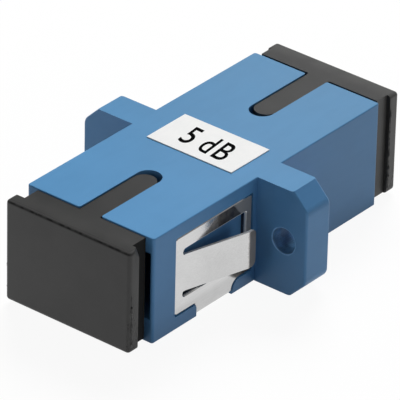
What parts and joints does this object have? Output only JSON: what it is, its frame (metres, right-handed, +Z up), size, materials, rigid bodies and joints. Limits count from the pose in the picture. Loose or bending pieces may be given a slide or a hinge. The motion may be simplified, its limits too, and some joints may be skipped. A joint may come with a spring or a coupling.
{
  "type": "fibre optic attenuator",
  "caption": "Flanged adapter-style fibre optic attenuator: moulded housing with keyed push-pull ports, sprung panel clip, pull-off dust caps and a ceramic alignment core.",
  "frame": {"origin": "on the optical axis, in the middle of the panel flange's thickness", "axes": "+X across the flange, +Y along the optical axis from the clipped front port to the rear port, +Z up through the keyways and the label"},
  "size_m": [0.0224, 0.0332, 0.0094],
  "materials": {
    "housing_plastic": "satin blue moulded plastic",
    "clip_steel": "bright rolled stainless sheet",
    "insert_plastic": "natural ivory moulded plastic",
    "ceramic": "polished white ceramic",
    "fibre_glass": "clear glass fibre",
    "cap_plastic": "black soft moulded plastic",
    "label_paper": "white coated paper"
  },
  "bodies": {
    "adapter": {"housing": "housing_plastic", "panel_clip": "clip_steel", "front_latch_insert": "insert_plastic", "rear_latch_insert": "insert_plastic", "split_sleeve": "ceramic", "attenuator_stub": "ceramic", "attenuating_fibre": "fibre_glass", "value_label": "label_paper"},
    "front_cap": {"front_dust_cap": "cap_plastic"},
    "rear_cap": {"rear_dust_cap": "cap_plastic"}
  },
  "joints": [
    {"name": "front_cap_pull", "type": "slide", "parent": "adapter", "child": "front_cap", "axis": [0, -1, 0], "range_m": [0, 0.012]},
    {"name": "rear_cap_pull", "type": "slide", "parent": "adapter", "child": "rear_cap", "axis": [0, 1, 0], "range_m": [0, 0.012]}
  ]
}
